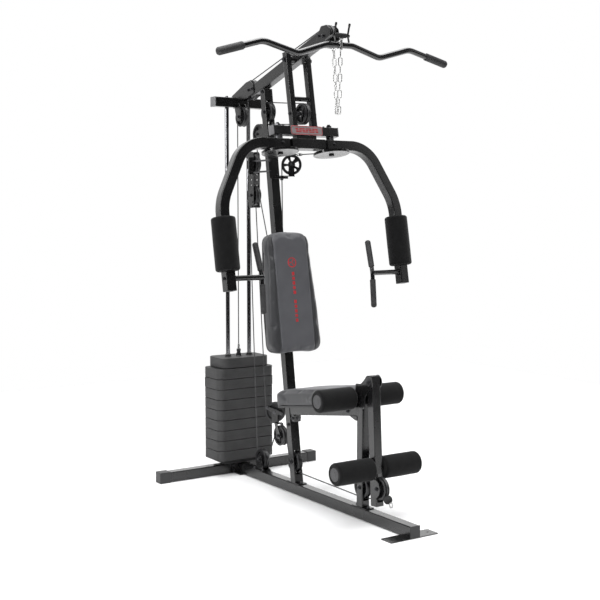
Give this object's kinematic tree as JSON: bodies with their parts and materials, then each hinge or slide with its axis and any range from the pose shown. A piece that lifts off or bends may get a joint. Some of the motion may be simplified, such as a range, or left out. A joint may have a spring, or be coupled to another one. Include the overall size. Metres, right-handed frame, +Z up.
{
  "type": "multi station home gym",
  "caption": "Home gym with a pin selected weight stack, lat bar, chest press with butterfly arms, padded seat and back, and a leg lever with foam rollers, joined by cables over pulleys.",
  "frame": {"origin": "on the floor, at the middle of the gym's box", "axes": "+Z up; the user sits facing -Y, with the weight stack at +Y; left and right in names are as seen from in front, so left is -X"},
  "size_m": [1.1319, 1.412, 1.988],
  "materials": {
    "frame_paint": "satin black powder coat",
    "lat_bar_paint": "gloss black",
    "bumper_rubber": "matte",
    "roller_foam": "matte closed cell foam",
    "pad_vinyl": "satin synthetic leather",
    "stack_shell": "satin moulded shell",
    "guide_chrome": "polished",
    "zinc_steel": "bright zinc",
    "cable_coat": "coated wire rope",
    "badge_face": "satin",
    "pulley_nylon": "satin nylon"
  },
  "bodies": {
    "frame": {"rear_stabiliser": "frame_paint", "base_rail": "frame_paint", "main_upright": "frame_paint", "seat_frame": "frame_paint", "top_boom": "frame_paint", "boom_rear_bracket": "frame_paint", "boom_head_bracket": "frame_paint", "lever_bracket": "frame_paint", "rod_crossbar": "frame_paint", "guide_rod_left": "guide_chrome", "guide_rod_right": "guide_chrome", "stack_bumper": "bumper_rubber", "seat_pad": "pad_vinyl", "backrest_pad": "pad_vinyl", "upper_roller_tube": "frame_paint", "upper_foam_left": "roller_foam", "upper_foam_right": "roller_foam", "resting_plates": "stack_shell", "swivel_clamp": "frame_paint", "low_block": "frame_paint", "lat_cable": "cable_coat", "stack_cable": "cable_coat", "low_cable": "cable_coat", "fly_cable": "cable_coat"},
    "stack_carriage": {"top_plate": "stack_shell", "weight_plate_1": "stack_shell", "weight_plate_2": "stack_shell", "weight_plate_3": "stack_shell"},
    "selector_pin": {"selector_pin": "zinc_steel"},
    "lat_bar": {"lat_bar": "lat_bar_paint", "lat_chain": "zinc_steel"},
    "press_arm": {"press_frame": "frame_paint", "badge_plate": "badge_face", "fly_bridle": "cable_coat"},
    "fly_arm_left": {"butterfly_arm_left": "frame_paint", "arm_foam_left": "roller_foam"},
    "fly_arm_right": {"butterfly_arm_right": "frame_paint", "arm_foam_right": "roller_foam"},
    "leg_lever": {"leg_lever": "frame_paint", "lower_roller_tube": "frame_paint", "lower_foam_left": "roller_foam", "lower_foam_right": "roller_foam"},
    "upper_block": {"upper_block": "frame_paint"},
    "swivel_fork": {"swivel_fork": "frame_paint"},
    "boom_front_pulley": {"boom_front_pulley": "pulley_nylon"},
    "boom_rear_pulley": {"boom_rear_pulley": "pulley_nylon"},
    "stack_pulley": {"stack_pulley": "pulley_nylon"},
    "upright_top_pulley": {"upright_top_pulley": "pulley_nylon"},
    "upright_rear_pulley": {"upright_rear_pulley": "pulley_nylon"},
    "press_pulley": {"press_pulley": "pulley_nylon"},
    "block_top_pulley": {"block_top_pulley": "pulley_nylon"},
    "block_bottom_pulley": {"block_bottom_pulley": "pulley_nylon"},
    "low_block_top_pulley": {"low_block_top_pulley": "pulley_nylon"},
    "low_block_bottom_pulley": {"low_block_bottom_pulley": "pulley_nylon"},
    "upright_low_pulley": {"upright_low_pulley": "pulley_nylon"},
    "base_pulley": {"base_pulley": "pulley_nylon"},
    "post_pulley": {"post_pulley": "pulley_nylon"},
    "lever_pulley": {"lever_pulley": "pulley_nylon"},
    "swivel_pulley": {"swivel_pulley": "pulley_nylon"}
  },
  "joints": [
    {"name": "stack_lift", "type": "slide", "parent": "frame", "child": "stack_carriage", "axis": [0, 0, 1], "range_m": [0, 0.45], "deforming": ["stack_cable"]},
    {"name": "lat_bar_pull", "type": "slide", "parent": "frame", "child": "lat_bar", "axis": [0, 0, -1], "range_m": [0, 0.9], "deforming": ["lat_cable"]},
    {"name": "block_travel", "type": "slide", "parent": "frame", "child": "upper_block", "axis": [0, 0, -1], "range_m": [0, 0.45], "deforming": ["low_cable"]},
    {"name": "pin_pull", "type": "slide", "parent": "stack_carriage", "child": "selector_pin", "axis": [0, 1, 0], "range_m": [0, 0.12]},
    {"name": "press_swing", "type": "hinge", "parent": "frame", "child": "press_arm", "pos_m": [0, 0.1, 1.865], "axis": [-1, 0, 0], "range_deg": [0, 25]},
    {"name": "fly_left", "type": "hinge", "parent": "press_arm", "child": "fly_arm_left", "pos_m": [-0.13, 0.03469, 1.50386], "axis": [0, 0.1779, 0.984], "range_deg": [0, 75], "deforming": ["fly_bridle"]},
    {"name": "fly_right", "type": "hinge", "parent": "press_arm", "child": "fly_arm_right", "pos_m": [0.13, 0.03469, 1.50386], "axis": [0, -0.1779, -0.984], "range_deg": [0, 75]},
    {"name": "leg_swing", "type": "hinge", "parent": "frame", "child": "leg_lever", "pos_m": [0, -0.44, 0.562], "axis": [-1, 0, 0], "range_deg": [0, 80]},
    {"name": "swivel_turn", "type": "hinge", "parent": "frame", "child": "swivel_fork", "pos_m": [0.04, 0.281, 1.433], "axis": [0, 0, 1], "range_deg": [-20, 20], "deforming": ["fly_cable"]},
    {"name": "boom_front_spin", "type": "hinge", "parent": "frame", "child": "boom_front_pulley", "pos_m": [0, -0.125, 1.936], "axis": [1, 0, 0], "continuous": true},
    {"name": "boom_rear_spin", "type": "hinge", "parent": "frame", "child": "boom_rear_pulley", "pos_m": [0, 0.46, 1.772], "axis": [1, 0, 0], "continuous": true},
    {"name": "stack_spin", "type": "hinge", "parent": "frame", "child": "stack_pulley", "pos_m": [0, 0.552, 1.659], "axis": [1, 0, 0], "continuous": true},
    {"name": "upright_top_spin", "type": "hinge", "parent": "frame", "child": "upright_top_pulley", "pos_m": [0, 0.327, 1.664], "axis": [1, 0, 0], "continuous": true},
    {"name": "upright_rear_spin", "type": "hinge", "parent": "frame", "child": "upright_rear_pulley", "pos_m": [0, 0.399, 1.572], "axis": [1, 0, 0], "continuous": true},
    {"name": "press_spin", "type": "hinge", "parent": "press_arm", "child": "press_pulley", "pos_m": [0, 0.055, 1.637], "axis": [1, 0, 0], "continuous": true},
    {"name": "block_top_spin", "type": "hinge", "parent": "upper_block", "child": "block_top_pulley", "pos_m": [0, 0.45, 1.44], "axis": [1, 0, 0], "continuous": true},
    {"name": "block_bottom_spin", "type": "hinge", "parent": "upper_block", "child": "block_bottom_pulley", "pos_m": [0, 0.45, 1.3], "axis": [1, 0, 0], "continuous": true},
    {"name": "low_block_top_spin", "type": "hinge", "parent": "frame", "child": "low_block_top_pulley", "pos_m": [0, 0.274, 0.333], "axis": [0.7071, 0.7071, 0], "continuous": true},
    {"name": "low_block_bottom_spin", "type": "hinge", "parent": "frame", "child": "low_block_bottom_pulley", "pos_m": [0, 0.228, 0.234], "axis": [1, 0, 0], "continuous": true},
    {"name": "upright_low_spin", "type": "hinge", "parent": "frame", "child": "upright_low_pulley", "pos_m": [0, 0.115, 0.139], "axis": [1, 0, 0], "continuous": true},
    {"name": "base_spin", "type": "hinge", "parent": "frame", "child": "base_pulley", "pos_m": [0, 0.385, 0.099], "axis": [1, 0, 0], "continuous": true},
    {"name": "post_spin", "type": "hinge", "parent": "frame", "child": "post_pulley", "pos_m": [0, -0.377, 0.129], "axis": [1, 0, 0], "continuous": true},
    {"name": "lever_spin", "type": "hinge", "parent": "leg_lever", "child": "lever_pulley", "pos_m": [0, -0.491, 0.147], "axis": [1, 0, 0], "continuous": true},
    {"name": "swivel_spin", "type": "hinge", "parent": "swivel_fork", "child": "swivel_pulley", "pos_m": [0.07573, 0.25709, 1.433], "axis": [0.5561, 0.8311, 0], "continuous": true}
  ],
  "couplings": [
    {"joint": "lat_bar_pull", "follows": "stack_lift", "ratio": 2},
    {"joint": "block_travel", "follows": "stack_lift", "ratio": 1}
  ]
}
